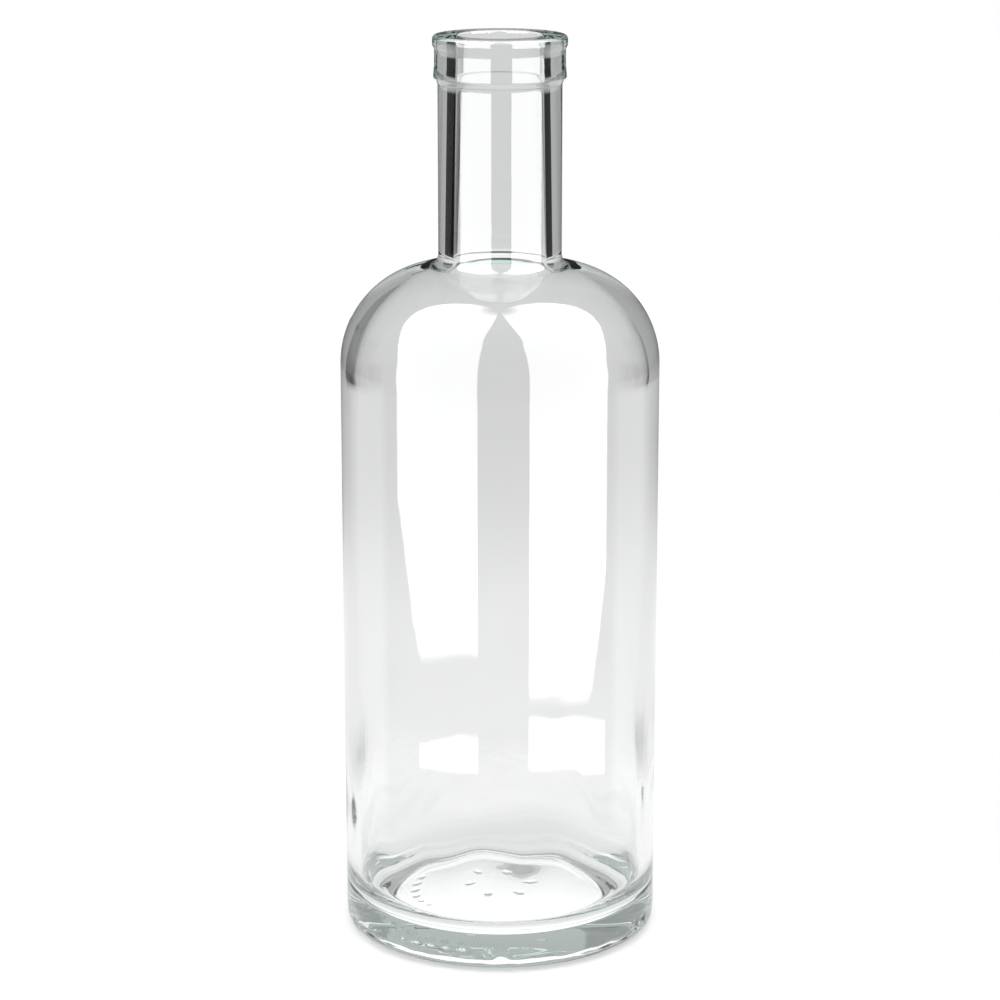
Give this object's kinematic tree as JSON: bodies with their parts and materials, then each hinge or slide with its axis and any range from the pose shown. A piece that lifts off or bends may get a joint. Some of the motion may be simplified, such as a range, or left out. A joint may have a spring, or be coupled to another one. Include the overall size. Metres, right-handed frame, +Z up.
{
  "type": "liquor bottle",
  "caption": "Empty clear-glass liquor bottle: straight round body, rounded shoulders, straight neck, heavy base and a thick ring round the mouth for a push-in stopper.",
  "frame": {"origin": "centre of the ring that the bottle stands on, in the plane of the surface it rests on", "axes": "+Z up along the bottle's axis to the mouth; the bottle is round, so +X and +Y are any two directions across it"},
  "size_m": [0.0838, 0.0838, 0.2406],
  "materials": {
    "clear_glass": "clear colourless glass with a faint green tint in its thick edges, polished outside and slightly wavy inside"
  },
  "bodies": {
    "root": {"glass_bottle": "clear_glass"}
  },
  "joints": []
}
